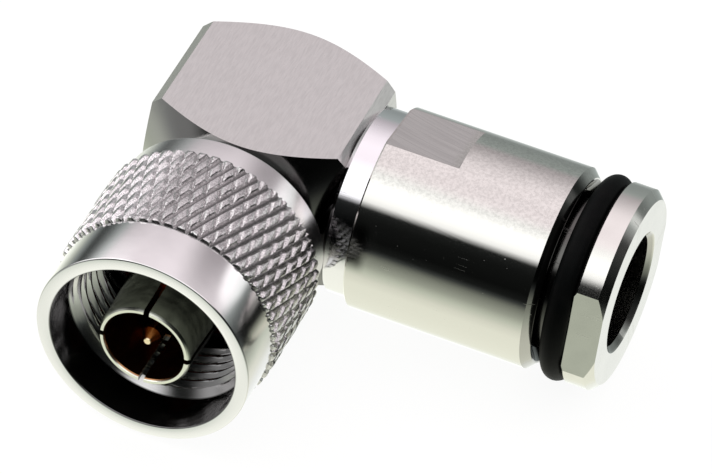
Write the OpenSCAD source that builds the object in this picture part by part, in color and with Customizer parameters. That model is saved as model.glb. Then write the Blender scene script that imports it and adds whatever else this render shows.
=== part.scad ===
// Right-angle N coaxial plug for a clamped cable.
// Frame, in millimetres: the origin is the centre of the outer contact's tip, where the
// plug meets its socket. The plug points to -Y, the cable leaves to +X, and +Z is up.

/* [Plug face] */
// Outside diameter of the slotted outer contact at its tip
outer_contact_d = 8.1; // [8.0:0.02:8.2]
// Extra diameter of the outer contact behind its tip
outer_contact_flare = 0.3; // [0:0.05:0.4]
// Bore of the outer contact, and of the line behind it
line_bore_d = 7; // [6.8:0.1:7.2]
// Width of the four slots in the outer contact
contact_slot_w = 0.5; // [0.3:0.1:0.8]
// Length of the four slots
contact_slot_len = 5.6; // [3:0.2:8]
// Bevel at the outer contact's tip
contact_tip_bevel = 0.2; // [0.1:0.05:0.3]
// Diameter of the centre pin's tip
pin_tip_d = 1.65; // [1.6:0.01:1.68]
// Diameter of the centre pin's shank
pin_shank_d = 3.04; // [2.8:0.02:3.2]
// Diameter of the flat end of the pin's nose
pin_nose_d = 0.56; // [0.3:0.02:0.9]
// Length of the pin's nose cone
pin_nose_len = 0.9; // [0.5:0.05:1.4]
// How far the pin's tip stays behind the outer contact's tip
pin_recess = 0.74; // [0.4:0.02:1.2]
// Length of the thin tip, from its end to the shank
pin_tip_len = 5.4; // [4.8:0.1:6]
// Depth of the front gasket's face behind the outer contact's tip
gasket_depth = 10.4; // [10:0.1:10.8]
// Thickness of the front gasket
gasket_t = 1; // [0.8:0.1:1.2]

/* [Coupling nut] */
// How far the nut stands ahead of the outer contact
nut_overhang = 0.32; // [0:0.02:0.6]
// Wall of the nut around its mouth
mouth_wall = 1.19; // [1:0.01:1.4]
// Length of the knurl
knurl_len = 9.26; // [8.4:0.02:9.6]
// Diamonds around the nut
knurl_count = 54; // [40:1:64]
// Half diamonds along the nut
knurl_rows = 6; // [4:1:8]
// Share of a diamond that is flat on top
knurl_flat = 0.26; // [0.1:0.02:0.5]
// Turn of each row against the one before, as a share of a diamond
knurl_skew = 0.06; // [-0.1:0.01:0.1]
// How far the knurl stands above the smooth front band
knurl_step = 0.4; // [0.3:0.02:0.5]
// How far the knurl's groove bottoms stay above the smooth front band
groove_floor = 0.02; // [0.02:0.01:0.1]
// Length of the smooth front band
front_band_len = 4.88; // [4.4:0.02:5.2]
// Wall of the rear collar around the neck
collar_wall = 2.04; // [1.8:0.02:2.2]
// Length of the rear collar
collar_len = 2.36; // [2:0.02:2.8]
// Radius of the collar's rear edge
collar_round = 0.15; // [0.1:0.05:0.8]
// How far the plain mouth is wider than the thread, on the radius
mouth_gap = 0.26; // [0.16:0.01:0.4]
// Depth of the plain mouth
mouth_depth = 3.7; // [3.2:0.1:4]
// Major diameter of the coupling thread, 5/8 inch
thread_major_d = 15.875; // [15.8:0.005:15.95]
// Depth of the thread form
thread_depth = 0.51; // [0.4:0.01:0.56]
// Pitch of the coupling thread, 24 to the inch
thread_pitch = 1.058; // [1:0.002:1.1]
// Turns of the coupling thread
thread_turns = 5; // [4:1:6]
// How far the undercut behind the thread is wider than it, on the radius
undercut_gap = 0.16; // [0.1:0.01:0.3]

/* [Nut bearing] */
// How far the body's neck stays inside the nut's thread, on the radius
neck_inset = 0.53; // [0.4:0.01:0.7]
// Gap between the neck and the nut, on the radius
nut_gap = 0.15; // [0.1:0.01:0.25]
// Thickness of the retaining ring, along the axis
ring_t = 1; // [0.8:0.1:1.2]
// Distance from the neck's front face to the retaining ring
ring_setback = 1.1; // [0.9:0.1:1.4]
// How deep the retaining ring sits in the neck
ring_seat = 0.5; // [0.3:0.05:0.7]
// How far the retaining ring stands out of the neck
ring_proud = 0.65; // [0.4:0.05:0.8]
// Opening of the retaining ring
ring_split = 1.6; // [1:0.1:3]

/* [Angle body] */
// Gap along the plug axis between the nut and the cable sleeve's shoulder
nut_sleeve_gap = 0.06; // [0.04:0.02:0.6]
// Thickness of the block, between its two large faces
block_t = 14.5; // [14:0.1:15]
// Width of the block
block_w = 17.5; // [17:0.1:18]
// Bevel on the block's long edges
block_bevel = 0.85; // [0.3:0.05:1]
// Distance from the cable axis to the block's front face
block_front = 6.5; // [6.2:0.02:6.8]
// Distance from the cable axis to the block's rear face
block_rear = 9.67; // [9.2:0.02:10]
// Diameter of the flat end faces, inside the turned bevels
end_face_d = 13.4; // [12:0.1:13.6]
// Slope of the turned bevels, from the end faces
end_bevel_angle = 34; // [30:0.5:40]
// Diameter of the chamber at the bend
chamber_d = 8; // [7.6:0.1:8.4]
// Diameter of the rear cap
cap_d = 10; // [9.4:0.1:10.6]
// Thickness of the rear cap
cap_t = 2.4; // [1.8:0.1:3]
// Width of the rear cap's driver slot
cap_slot_w = 1.2; // [0.8:0.1:1.6]
// Depth of the rear cap's driver slot
cap_slot_depth = 0.8; // [0.5:0.1:1.2]
// Length of the outer contact's root in the neck
root_len = 4; // [3.4:0.1:4.6]
// Wall of the outer contact's root
root_wall = 1.4; // [1.2:0.05:1.6]
// Thickness of the bead insulators
bead_t = 2.6; // [2:0.1:3]
// Wall of the pin behind the cross hole for the cable contact
pin_end_wall = 0.7; // [0.5:0.05:1]
// Diameter of the pin where the bead insulators hold it
pin_waist_d = 2.1; // [1.8:0.1:2.4]

/* [Cable sleeve] */
// How far the shoulder against the block is smaller than the sleeve, on the radius
shoulder_step = 0.68; // [0.5:0.02:0.9]
// Length of the shoulder
shoulder_len = 2.35; // [2:0.05:2.8]
// Bevel of the shoulder where it meets the block
shoulder_bevel = 0.3; // [0.1:0.05:0.5]
// Length of the sleeve, without its shoulder
sleeve_len = 16.45; // [16:0.05:17]
// Bevel at the sleeve's cable end
sleeve_end_bevel = 0.7; // [0.3:0.05:0.8]
// Bevel inside the sleeve's cable end, where the O-ring seats
o_ring_seat = 0.9; // [0.6:0.05:1]
// Bevel at the sleeve's block end
sleeve_edge_bevel = 0.15; // [0.1:0.05:0.3]
// Depth of the sleeve's wrench flats
sleeve_flat_depth = 0.57; // [0.4:0.01:0.8]
// Length of the sleeve's wrench flats
sleeve_flat_len = 6.6; // [5:0.1:8]
// Turn of the sleeve's wrench flats about the cable axis
sleeve_flat_turn = 10; // [-45:1:45]
// Wall of the block beside the sleeve's spigot
spigot_wall = 1.25; // [1:0.05:1.5]
// Length of the sleeve's spigot in the block
spigot_len = 4; // [3.4:0.1:4.2]
// Bore through the spigot
spigot_bore_d = 6; // [5.6:0.1:6.4]
// Diameter of the cable insulator
cable_bead_d = 7.2; // [7:0.1:7.6]
// Length of the cable insulator
cable_bead_len = 5; // [4:0.1:6]
// Wall of the spigot ahead of the cable insulator
spigot_step = 1.25; // [1:0.05:1.6]
// Section of the seal between the sleeve and the block
seal_section = 0.95; // [0.8:0.05:1.1]

/* [Cable clamp] */
// Largest cable that goes in
cable_bore_d = 9.74; // [9.2:0.02:10.2]
// Wall of the cable gasket around the cable
gasket_wall = 1.35; // [1.2:0.05:1.6]
// How far the clamp nut's thread is wider than the chamber, on the radius
clamp_thread_step = 0.55; // [0.4:0.05:0.7]
// Gap around the clamp's loose pieces, on the radius
clamp_gap = 0.08; // [0.05:0.01:0.15]
// Depth from the sleeve's block end to the clamp chamber's floor
clamp_floor = 2.4; // [2:0.1:3]
// Thickness of the braid clamp's flange
braid_flange_t = 1.1; // [0.8:0.1:1.4]
// Length of the braid clamp's cone
braid_cone_len = 1.9; // [1.4:0.1:2.4]
// Length of the cable gasket
cable_gasket_len = 5.8; // [5:0.1:6]
// Depth of the V groove inside the cable gasket
gasket_groove = 0.4; // [0.2:0.05:0.6]
// Thickness of the slip washer
washer_t = 1; // [0.8:0.1:1.1]
// Gap of the clamp nut's thread, on the radius
clamp_thread_gap = 0.15; // [0.1:0.01:0.2]
// Depth of the sleeve's thread
clamp_thread_depth = 6; // [5.8:0.05:6.1]
// Length of the clamp nut's thread and neck
clamp_thread_len = 8; // [7.6:0.1:8.2]
// How far the clamp nut's flange is smaller than the sleeve, on the radius
clamp_flange_step = 0.03; // [0:0.01:0.2]
// Thickness of the clamp nut's flange
clamp_flange_t = 2.75; // [2:0.05:3]
// Depth of the clamp nut's wrench flats
clamp_flat_depth = 0.98; // [0.6:0.02:1.2]
// Turn of the clamp nut's wrench flats about the cable axis
clamp_flat_turn = 7.6; // [-45:0.2:45]
// Bevel around the clamp nut's end face
clamp_bevel = 0.7; // [0.4:0.05:1]
// Bevel around the cable bore's mouth
cable_mouth_bevel = 0.45; // [0.2:0.05:0.6]
// Gap between the sleeve and the O-ring as the plug is delivered
clamp_open = 0.8; // [0.6:0.05:1.2]
// Section of the O-ring
o_ring_section = 2.05; // [1.8:0.05:2.2]
// How far the O-ring stands out of the sleeve, on the radius
o_ring_proud = 0.17; // [0.05:0.01:0.3]
// Gap around the O-ring on the clamp nut's neck
o_ring_gap = 0.05; // [0.03:0.01:0.1]

/* [Cable contact] */
// Diameter of the contact's nose in the centre pin
nose_d = 1.9; // [1.6:0.1:2]
// Diameter of the contact's solder cup
cup_d = 3.8; // [3.4:0.1:4.2]
// Bore of the solder cup
cup_bore_d = 2.7; // [2.2:0.1:3]
// Length of the solder cup
cup_len = 7.4; // [6:0.1:8]
// Depth of the solder cup's bore
cup_depth = 5.8; // [4.5:0.1:5.9]

/* [Hidden] */
$fn = 96;
over = 1;                              // how far a cut runs past the face it opens
lip = 0.2;                             // small bevel on a turned edge

// Radii of the cable end, from the cable outwards
cable_r = cable_bore_d / 2;
clamp_piece_r = cable_r + gasket_wall;
clamp_chamber_r = clamp_piece_r + clamp_gap;
clamp_thread_r = clamp_chamber_r + clamp_thread_step;
o_ring_mid_r = clamp_thread_r + o_ring_gap + o_ring_section / 2;
sleeve_r = o_ring_mid_r + o_ring_section / 2 - o_ring_proud;
shoulder_r = sleeve_r - shoulder_step;
flange_r = sleeve_r - clamp_flange_step;

// Plug axis, measured back from the outer contact's tip
thread_r = thread_major_d / 2;
thread_minor_r = thread_r - thread_depth;
mouth_r = thread_r + mouth_gap;
band_r = mouth_r + mouth_wall;
knurl_r = band_r + knurl_step;
neck_r = thread_minor_r - neck_inset;
nut_bore_r = neck_r + nut_gap;
collar_r = nut_bore_r + collar_wall;
nut_front_y = -nut_overhang;
knurl_y = nut_front_y + front_band_len;
collar_y = knurl_y + knurl_len;
nut_rear_y = collar_y + collar_len;
thread_y = nut_front_y + mouth_depth;
thread_lead = mouth_r - thread_minor_r;
undercut_r = thread_r + undercut_gap;
undercut_y = thread_y + thread_lead / 2 + thread_turns * thread_pitch;
neck_y = gasket_depth + gasket_t;
ring_y = neck_y + ring_setback;
ring_in_r = neck_r - ring_seat;
ring_out_r = neck_r + ring_proud;
cable_axis_y = nut_rear_y + nut_sleeve_gap + shoulder_r;
block_front_y = cable_axis_y - block_front;
block_rear_y = cable_axis_y + block_rear;
root_end_y = neck_y + root_len;
root_r = line_bore_d / 2 + root_wall;
bead_seat_r = line_bore_d / 2 + root_wall / 3;
front_bead_y = root_end_y - bead_t;
chamber_front_y = cable_axis_y - chamber_d / 2;
rear_bead_y = chamber_front_y - bead_t - lip;
cap_y = block_rear_y - cap_t;
pin_tip_y = pin_recess;
pin_shank_y = pin_tip_y + pin_tip_len;
pin_end_y = cable_axis_y + nose_d / 2 + pin_end_wall;

// Cable axis, measured out from the plug axis
block_side_x = block_w / 2;
spigot_r = block_t / 2 - spigot_wall;
seal_r = spigot_r + lip + seal_section / 2;
spigot_x = block_side_x - spigot_len;
sleeve_x = block_side_x + shoulder_len;
sleeve_end_x = sleeve_x + sleeve_len;
cable_bead_x = spigot_x + spigot_step;
cup_x = cable_bead_x + cable_bead_len;
clamp_floor_x = sleeve_x + clamp_floor;
gasket_x = clamp_floor_x + braid_flange_t;
washer_x = gasket_x + cable_gasket_len;
clamp_thread_x = sleeve_end_x - clamp_thread_depth;
o_ring_x = sleeve_end_x + clamp_open;
flange_x = o_ring_x + o_ring_section + o_ring_gap;
clamp_nut_x = flange_x - clamp_thread_len;
clamp_end_x = flange_x + clamp_flange_t;
nose_end_x = -pin_shank_d / 2;

nickel = [0.76, 0.76, 0.73];
bronze = [0.55, 0.57, 0.53];
gold = [0.85, 0.62, 0.25];
plastic = [0.94, 0.94, 0.92];
red_rubber = [0.45, 0.06, 0.05];
black_rubber = [0.05, 0.05, 0.05];

// Puts a piece that is turned about +Z on the plug axis, pointing back, at a distance y.
module on_plug(y = 0) {
    translate([0, y, 0]) rotate([-90, 0, 0]) children();
}

// Puts a piece that is turned about +Z on the cable axis, pointing out, at a distance x.
module on_cable(x = 0) {
    translate([x, cable_axis_y, 0]) rotate([0, 90, 0]) children();
}

// A solid of revolution from its half outline, as [radius, height] points.
module turned(outline) {
    rotate_extrude() polygon(outline);
}

// A ring with a plain rectangular section.
module ring(outer_r, inner_r, height) {
    turned([[inner_r, 0], [outer_r, 0], [outer_r, height], [inner_r, height]]);
}

// A bore of radius r and a length, which runs a little past its open end at the start.
module bore(r, length, before = over, after = 0) {
    translate([0, 0, -before]) cylinder(h = length + before + after, r = r);
}

// ---- Angle body -------------------------------------------------------------

// The square block with turned bevels at both ends.
module block_outside() {
    half_w = block_w / 2;
    half_t = block_t / 2;
    length = block_front + block_rear;
    face_r = end_face_d / 2;
    corner_r = norm([half_w, half_t]);
    rise = (corner_r - face_r) * tan(end_bevel_angle);
    on_plug(block_front_y) intersection() {
        linear_extrude(length)
            polygon([[half_w - block_bevel, -half_t], [half_w, -half_t + block_bevel],
                     [half_w, half_t - block_bevel], [half_w - block_bevel, half_t],
                     [-half_w + block_bevel, half_t], [-half_w, half_t - block_bevel],
                     [-half_w, -half_t + block_bevel], [-half_w + block_bevel, -half_t]]);
        turned([[0, 0], [face_r, 0], [corner_r, rise], [corner_r, length - rise],
                [face_r, length], [0, length]]);
    }
}

module body_block() {
    color(nickel) difference() {
        union() {
            block_outside();
            on_plug(neck_y) turned([[0, 0], [neck_r - lip, 0], [neck_r, lip],
                                    [neck_r, cable_axis_y - neck_y], [0, cable_axis_y - neck_y]]);
        }
        on_plug(neck_y) bore(root_r, root_len);
        on_plug(neck_y) bore(line_bore_d / 2, chamber_front_y - neck_y);
        on_plug(chamber_front_y) bore(chamber_d / 2, cap_y - chamber_front_y, 0, 0);
        on_plug(cap_y) bore(cap_d / 2, cap_t, 0, over);
        on_plug(ring_y) ring(neck_r + over, ring_in_r, ring_t);
        on_cable(spigot_x) bore(spigot_r, spigot_len, 0, over);
        on_cable(0) bore(spigot_bore_d / 2, spigot_x, 0, over);
    }
}

module rear_cap() {
    color(nickel) difference() {
        on_plug(cap_y) turned([[0, 0], [cap_d / 2, 0], [cap_d / 2, cap_t - lip],
                               [cap_d / 2 - lip, cap_t], [0, cap_t]]);
        translate([-cap_d, block_rear_y - cap_slot_depth, -cap_slot_w / 2])
            cube([2 * cap_d, cap_slot_depth + over, cap_slot_w]);
    }
}

// ---- Plug contacts ----------------------------------------------------------

module outer_contact() {
    tip_r = outer_contact_d / 2;
    tube_r = tip_r + outer_contact_flare / 2;
    inner_r = line_bore_d / 2;
    color(bronze) difference() {
        on_plug() turned([[inner_r + contact_tip_bevel / 2, 0], [tip_r - contact_tip_bevel, 0],
                          [tip_r, contact_tip_bevel], [tip_r, contact_slot_len / 3],
                          [tube_r, contact_slot_len], [tube_r, neck_y], [root_r, neck_y],
                          [root_r, root_end_y], [bead_seat_r, root_end_y], [bead_seat_r, front_bead_y],
                          [inner_r, front_bead_y], [inner_r, contact_tip_bevel]]);
        for (turn = [0, 90]) on_plug() rotate([0, 0, turn])
            translate([-outer_contact_d, -contact_slot_w / 2, -over])
                cube([2 * outer_contact_d, contact_slot_w, contact_slot_len + over]);
    }
}

// A bead that snaps over the pin's waist through a thin radial slit.
module bead(outer_r, length) {
    slit = 0.2;
    difference() {
        ring(outer_r, pin_waist_d / 2, length);
        translate([0, -slit / 2, -over]) cube([outer_r + over, slit, length + 2 * over]);
    }
}

module front_insulator() {
    color(plastic) on_plug(front_bead_y) bead(bead_seat_r, bead_t);
}

module rear_insulator() {
    color(plastic) on_plug(rear_bead_y) bead(line_bore_d / 2, bead_t);
}

module centre_pin() {
    tip_r = pin_tip_d / 2;
    shank_r = pin_shank_d / 2;
    waist_r = pin_waist_d / 2;
    color(gold) difference() {
        on_plug() turned([[0, pin_tip_y], [pin_nose_d / 2, pin_tip_y], [tip_r, pin_tip_y + pin_nose_len],
                          [tip_r, pin_shank_y], [shank_r - lip, pin_shank_y],
                          [shank_r, pin_shank_y + lip], [shank_r, front_bead_y], [waist_r, front_bead_y],
                          [waist_r, root_end_y], [shank_r, root_end_y], [shank_r, rear_bead_y],
                          [waist_r, rear_bead_y], [waist_r, rear_bead_y + bead_t],
                          [shank_r, rear_bead_y + bead_t], [shank_r, pin_end_y], [0, pin_end_y]]);
        translate([-pin_shank_d, cable_axis_y, -nose_d / 2])
            cube([2 * pin_shank_d, pin_end_y - cable_axis_y + over, nose_d]);
        on_cable(-pin_shank_d) cylinder(h = 2 * pin_shank_d, r = nose_d / 2);
    }
}

module front_gasket() {
    inner_r = (outer_contact_d + outer_contact_flare) / 2;
    color(red_rubber) on_plug(gasket_depth) ring(neck_r, inner_r, gasket_t);
}

// ---- Coupling nut -----------------------------------------------------------

module retaining_ring() {
    color(bronze) difference() {
        on_plug(ring_y) ring(ring_out_r, ring_in_r, ring_t);
        translate([-ring_split / 2, ring_y - over, -2 * ring_out_r])
            cube([ring_split, ring_t + 2 * over, 2 * ring_out_r]);
    }
}

// A point of the knurl: i counts half diamonds around, j counts half diamonds along.
function knurl_point(i, j, r) =
    let (turn = (i / 2 + j * knurl_skew) * 360 / knurl_count)
    [r * cos(turn), r * sin(turn), j * knurl_len / knurl_rows];

// The knurl is two sets of grooves that cross, so it is a field of flat-topped diamonds.
// Every row holds one groove crossing and one diamond for each count around.
module knurl() {
    floor_r = band_r + groove_floor;
    n = knurl_count;
    rows = knurl_rows;
    f = knurl_flat;
    crossings = [for (j = [0 : rows], k = [0 : n - 1]) knurl_point(2 * k + j % 2, j, floor_r)];
    tops = [for (j = [0 : rows], k = [0 : n - 1]) let (c = 2 * k + 1 + j % 2)
            each [knurl_point(c - f, j, knurl_r), knurl_point(c, min(j + f, rows), knurl_r),
                  knurl_point(c + f, j, knurl_r), knurl_point(c, max(j - f, 0), knurl_r)]];
    function cross_at(j, k) = j * n + k % n;
    function top_at(j, k, corner) = len(crossings) + 4 * (j * n + k % n) + corner;
    front = len(crossings) + len(tops);
    upper = [for (j = [0 : rows - 1], k = [0 : n - 1])
             let (left = cross_at(j, k), right = cross_at(j, k + 1), up = cross_at(j + 1, k + j % 2))
             each [[left, up, top_at(j, k, 1), top_at(j, k, 0)],
                   [up, right, top_at(j, k, 2), top_at(j, k, 1)],
                   [top_at(j, k, 0), top_at(j, k, 1), top_at(j, k, 2)]]];
    lower = [for (j = [1 : rows], k = [0 : n - 1])
             let (left = cross_at(j, k), right = cross_at(j, k + 1), down = cross_at(j - 1, k + j % 2))
             each [[right, down, top_at(j, k, 3), top_at(j, k, 2)],
                   [down, left, top_at(j, k, 0), top_at(j, k, 3)],
                   [top_at(j, k, 0), top_at(j, k, 2), top_at(j, k, 3)]]];
    ends = [for (k = [0 : n - 1])
            let (a = cross_at(0, k), b = top_at(0, k, 0), c = top_at(0, k, 2), d = cross_at(0, k + 1),
                 p = cross_at(rows, k), q = top_at(rows, k, 0), r = top_at(rows, k, 2),
                 s = cross_at(rows, k + 1))
            each [[front, a, b], [front, b, c], [front, c, d],
                  [front + 1, q, p], [front + 1, r, q], [front + 1, s, r]]];
    polyhedron(points = concat(crossings, tops, [[0, 0, 0], [0, 0, knurl_len]]),
               faces = concat(upper, lower, ends));
}

// The smooth outside of the nut; the knurl is added around its middle.
module nut_outside() {
    core_r = min(band_r, collar_r) - lip;
    round_r = collar_r - collar_round;
    round_y = nut_rear_y - collar_round;
    corner = [for (a = [0 : 15 : 90]) [round_r + collar_round * cos(a), round_y + collar_round * sin(a)]];
    turned(concat([[0, nut_front_y], [band_r - lip, nut_front_y], [band_r, nut_front_y + lip],
                   [band_r, knurl_y], [core_r, knurl_y], [core_r, collar_y], [collar_r, collar_y]],
                  corner, [[0, nut_rear_y]]));
}

// The inside of the nut: mouth, thread, undercut, ring groove and running bore.
module nut_inside() {
    crest = thread_pitch / 8;
    flank = (thread_pitch - 2 * crest) / 2;
    first = thread_y + thread_lead / 2;
    grooves = [for (t = [0 : thread_turns - 1]) let (y = first + t * thread_pitch)
               each [[thread_minor_r, y], [thread_minor_r, y + crest], [thread_r, y + crest + flank],
                     [thread_r, y + 2 * crest + flank]]];
    turned(concat([[0, nut_front_y - over], [mouth_r, nut_front_y - over], [mouth_r, thread_y]],
                  grooves,
                  [[thread_minor_r, undercut_y], [undercut_r, undercut_y], [undercut_r, neck_y + lip],
                   [nut_bore_r, neck_y + lip], [nut_bore_r, ring_y - nut_gap],
                   [ring_out_r + nut_gap, ring_y - nut_gap],
                   [ring_out_r + nut_gap, ring_y + ring_t + nut_gap], [nut_bore_r, ring_y + ring_t + nut_gap],
                   [nut_bore_r, nut_rear_y + over], [0, nut_rear_y + over]]));
}

module coupling_nut() {
    color(nickel) difference() {
        union() {
            on_plug() nut_outside();
            on_plug(knurl_y) knurl();
        }
        on_plug() nut_inside();
    }
}

// ---- Cable sleeve -----------------------------------------------------------

// Two wrench flats on opposite sides of a piece that is turned about +Z.
module flat_pair(flat_r, size, from, to) {
    for (side = [0, 180]) rotate([0, 0, side])
        translate([flat_r, -size, from]) cube([size, 2 * size, to - from]);
}

module cable_sleeve() {
    seat_r = clamp_thread_r + clamp_thread_gap;
    color(nickel) difference() {
        on_cable() turned([[0, spigot_x], [spigot_r, spigot_x], [spigot_r, block_side_x],
                           [shoulder_r - shoulder_bevel, block_side_x],
                           [shoulder_r, block_side_x + shoulder_bevel], [shoulder_r, sleeve_x],
                           [sleeve_r - sleeve_edge_bevel, sleeve_x], [sleeve_r, sleeve_x + sleeve_edge_bevel],
                           [sleeve_r, sleeve_end_x - sleeve_end_bevel],
                           [sleeve_r - sleeve_end_bevel, sleeve_end_x], [0, sleeve_end_x]]);
        on_cable(spigot_x) bore(spigot_bore_d / 2, spigot_step, over, over);
        on_cable(cable_bead_x) bore(cable_bead_d / 2, clamp_floor_x - cable_bead_x, 0, over);
        on_cable(clamp_floor_x) bore(clamp_chamber_r, sleeve_end_x - clamp_floor_x, 0, over);
        on_cable(clamp_thread_x) bore(seat_r, clamp_thread_depth, 0, over);
        on_cable(sleeve_end_x - o_ring_seat)
            turned([[0, 0], [seat_r, 0], [seat_r + o_ring_seat, o_ring_seat],
                    [seat_r + o_ring_seat, o_ring_seat + over], [0, o_ring_seat + over]]);
        on_cable() rotate([0, 0, -sleeve_flat_turn])
            flat_pair(sleeve_r - sleeve_flat_depth, 2 * sleeve_r,
                      sleeve_x - over, sleeve_x + sleeve_flat_len);
        on_cable(block_side_x - over)
            ring(seal_r + seal_section / 2, seal_r - seal_section / 2, seal_section + over);
    }
}

// A rubber ring with a round section.
module round_ring(middle_r, section) {
    rotate_extrude() translate([middle_r, 0]) circle(d = section);
}

module sleeve_seal() {
    color(black_rubber) on_cable(block_side_x + seal_section / 2) round_ring(seal_r, seal_section);
}

// ---- Cable clamp ------------------------------------------------------------

module cable_insulator() {
    color(plastic) on_cable(cable_bead_x) ring(cable_bead_d / 2, nose_d / 2, cable_bead_len);
}

module cable_contact() {
    color(gold) difference() {
        on_cable() turned([[0, nose_end_x], [nose_d / 2 - lip, nose_end_x], [nose_d / 2, nose_end_x + lip],
                           [nose_d / 2, cup_x], [cup_d / 2, cup_x],
                           [cup_d / 2, cup_x + cup_len], [0, cup_x + cup_len]]);
        on_cable(cup_x + cup_len - cup_depth) bore(cup_bore_d / 2, cup_depth, 0, over);
        translate([cup_x + cup_len / 2, cable_axis_y, 0]) cylinder(h = cup_d, d = cup_bore_d / 2);
    }
}

module braid_clamp() {
    inner_r = cable_bead_d / 2 + lip;
    cone_r = cable_r - lip;
    color(bronze) on_cable(clamp_floor_x)
        turned([[inner_r, 0], [clamp_piece_r, 0], [clamp_piece_r, braid_flange_t], [cone_r, braid_flange_t],
                [cone_r - lip * 2, braid_flange_t + braid_cone_len],
                [inner_r, braid_flange_t + braid_cone_len]]);
}

module cable_gasket() {
    start = braid_cone_len + lip;
    middle = (start + cable_gasket_len) / 2;
    color(black_rubber) on_cable(gasket_x)
        turned([[cable_r, 0], [clamp_piece_r, 0], [clamp_piece_r, cable_gasket_len],
                [cable_r, cable_gasket_len],
                [cable_r + gasket_groove, middle], [cable_r, start]]);
}

module slip_washer() {
    color(bronze) on_cable(washer_x) ring(clamp_piece_r, cable_r, washer_t);
}

module o_ring() {
    color(black_rubber) on_cable(o_ring_x + o_ring_section / 2)
        round_ring(o_ring_mid_r, o_ring_section);
}

module clamp_nut() {
    color(nickel) difference() {
        on_cable() turned([[cable_r, clamp_nut_x], [clamp_thread_r - lip, clamp_nut_x],
                           [clamp_thread_r, clamp_nut_x + lip], [clamp_thread_r, flange_x],
                           [flange_r - lip, flange_x], [flange_r, flange_x + lip],
                           [flange_r, clamp_end_x - clamp_bevel], [flange_r - clamp_bevel, clamp_end_x],
                           [cable_r + cable_mouth_bevel, clamp_end_x],
                           [cable_r, clamp_end_x - cable_mouth_bevel]]);
        on_cable() rotate([0, 0, -90 - clamp_flat_turn])
            flat_pair(flange_r - clamp_flat_depth, 2 * flange_r, flange_x - lip, clamp_end_x + over);
    }
}

body_block();
rear_cap();
outer_contact();
front_insulator();
rear_insulator();
centre_pin();
front_gasket();
retaining_ring();
coupling_nut();
cable_sleeve();
sleeve_seal();
cable_insulator();
cable_contact();
braid_clamp();
cable_gasket();
slip_washer();
o_ring();
clamp_nut();
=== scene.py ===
# %% [markdown]
# # A right-angle N plug, dressed for a picture
# The construction model brings eighteen turned and milled pieces at their real size. This
# lesson gives them a camera, a small studio and the finishes of the real plug. It also cuts
# the knurl and the thread of the coupling nut finer than the construction model needs them.
# Loading comes first, because the places and sizes below start from the boxes of the pieces.

# %% Load the pieces
import math
import random
from collections import namedtuple

import bpy
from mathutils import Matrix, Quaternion, Vector


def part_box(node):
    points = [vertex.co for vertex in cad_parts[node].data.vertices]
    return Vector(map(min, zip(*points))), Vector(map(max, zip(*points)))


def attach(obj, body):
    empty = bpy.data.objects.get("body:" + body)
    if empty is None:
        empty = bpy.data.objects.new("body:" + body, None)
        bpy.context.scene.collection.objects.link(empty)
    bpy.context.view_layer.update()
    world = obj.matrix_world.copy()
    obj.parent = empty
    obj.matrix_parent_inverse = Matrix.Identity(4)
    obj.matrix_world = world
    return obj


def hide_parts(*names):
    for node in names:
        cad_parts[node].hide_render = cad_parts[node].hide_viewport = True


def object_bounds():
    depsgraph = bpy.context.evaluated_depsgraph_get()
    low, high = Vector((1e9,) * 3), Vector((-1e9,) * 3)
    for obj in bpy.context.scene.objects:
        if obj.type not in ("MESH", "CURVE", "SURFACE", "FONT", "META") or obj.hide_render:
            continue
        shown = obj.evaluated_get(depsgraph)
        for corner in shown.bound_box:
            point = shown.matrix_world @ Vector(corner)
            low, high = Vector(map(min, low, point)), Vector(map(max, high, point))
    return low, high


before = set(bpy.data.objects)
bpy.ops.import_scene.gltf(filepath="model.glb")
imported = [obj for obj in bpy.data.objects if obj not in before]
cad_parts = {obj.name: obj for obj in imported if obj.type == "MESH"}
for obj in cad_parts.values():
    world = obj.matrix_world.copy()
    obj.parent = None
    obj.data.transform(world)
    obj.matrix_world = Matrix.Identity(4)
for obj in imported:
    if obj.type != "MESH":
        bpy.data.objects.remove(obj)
cad_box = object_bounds()
mm = 0.001
print("pieces:", len(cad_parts), "box:", [[round(c / mm, 2) for c in corner] for corner in cad_box])

# %% [markdown]
# A few sizes of the plug are used again and again: the cable axis crosses the plug axis at
# a right angle, and most finishes are turned about one of the two. The boxes of the nut,
# the sleeve and the clamp nut give them.

# %% Sizes from the pieces
nut_low, nut_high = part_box("coupling_nut")
sleeve_low, sleeve_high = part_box("cable_sleeve")
cable_y = (sleeve_low.y + sleeve_high.y) / 2
sleeve_r = sleeve_high.z
knurl_r = nut_high.z
floor_z = cad_box[0].z
print("cable axis at", round(cable_y / mm, 2), "sleeve radius", round(sleeve_r / mm, 2))

# %% [markdown]
# ## Camera
# A product picture of a small part is taken from some way off with a long lens, so that
# round pieces keep their shape. The camera is placed by the angles round the plug, as one
# would place a tripod, and then rolled a little about its own line of sight.

# %% Camera
azimuth = math.radians(18.02)
elevation = math.radians(43.53)
roll = math.radians(6.522)
distance = 550.25 * mm
aim = Vector((9.227 * mm, cable_y - 0.694 * mm, -3.7 * mm))

level_back = Vector((math.sin(azimuth), -math.cos(azimuth), 0))
back = level_back * math.cos(elevation) + Vector((0, 0, math.sin(elevation)))
camera = bpy.data.objects.new("camera", bpy.data.cameras.new("camera"))
camera.data.sensor_width = 36
camera.data.lens = 333.08
camera.data.clip_start = 0.01
camera.rotation_mode = "QUATERNION"
camera.location = aim + back * distance
camera.rotation_quaternion = Quaternion(back, roll) @ (-back).to_track_quat("-Z", "Y")
bpy.context.scene.collection.objects.link(camera)
bpy.context.scene.camera = camera
bpy.context.scene.view_settings.view_transform = "Standard"
print("camera at", [round(c, 4) for c in camera.location])

# %% [markdown]
# ## Writing shaders as sums
# A node graph is easier to read as a line of arithmetic. `Signal` stands for one output
# socket: adding or multiplying signals adds Math nodes, with numbers on either side. `Tree`
# adds any other node from its type, its settings and the values or links of its sockets.

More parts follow.
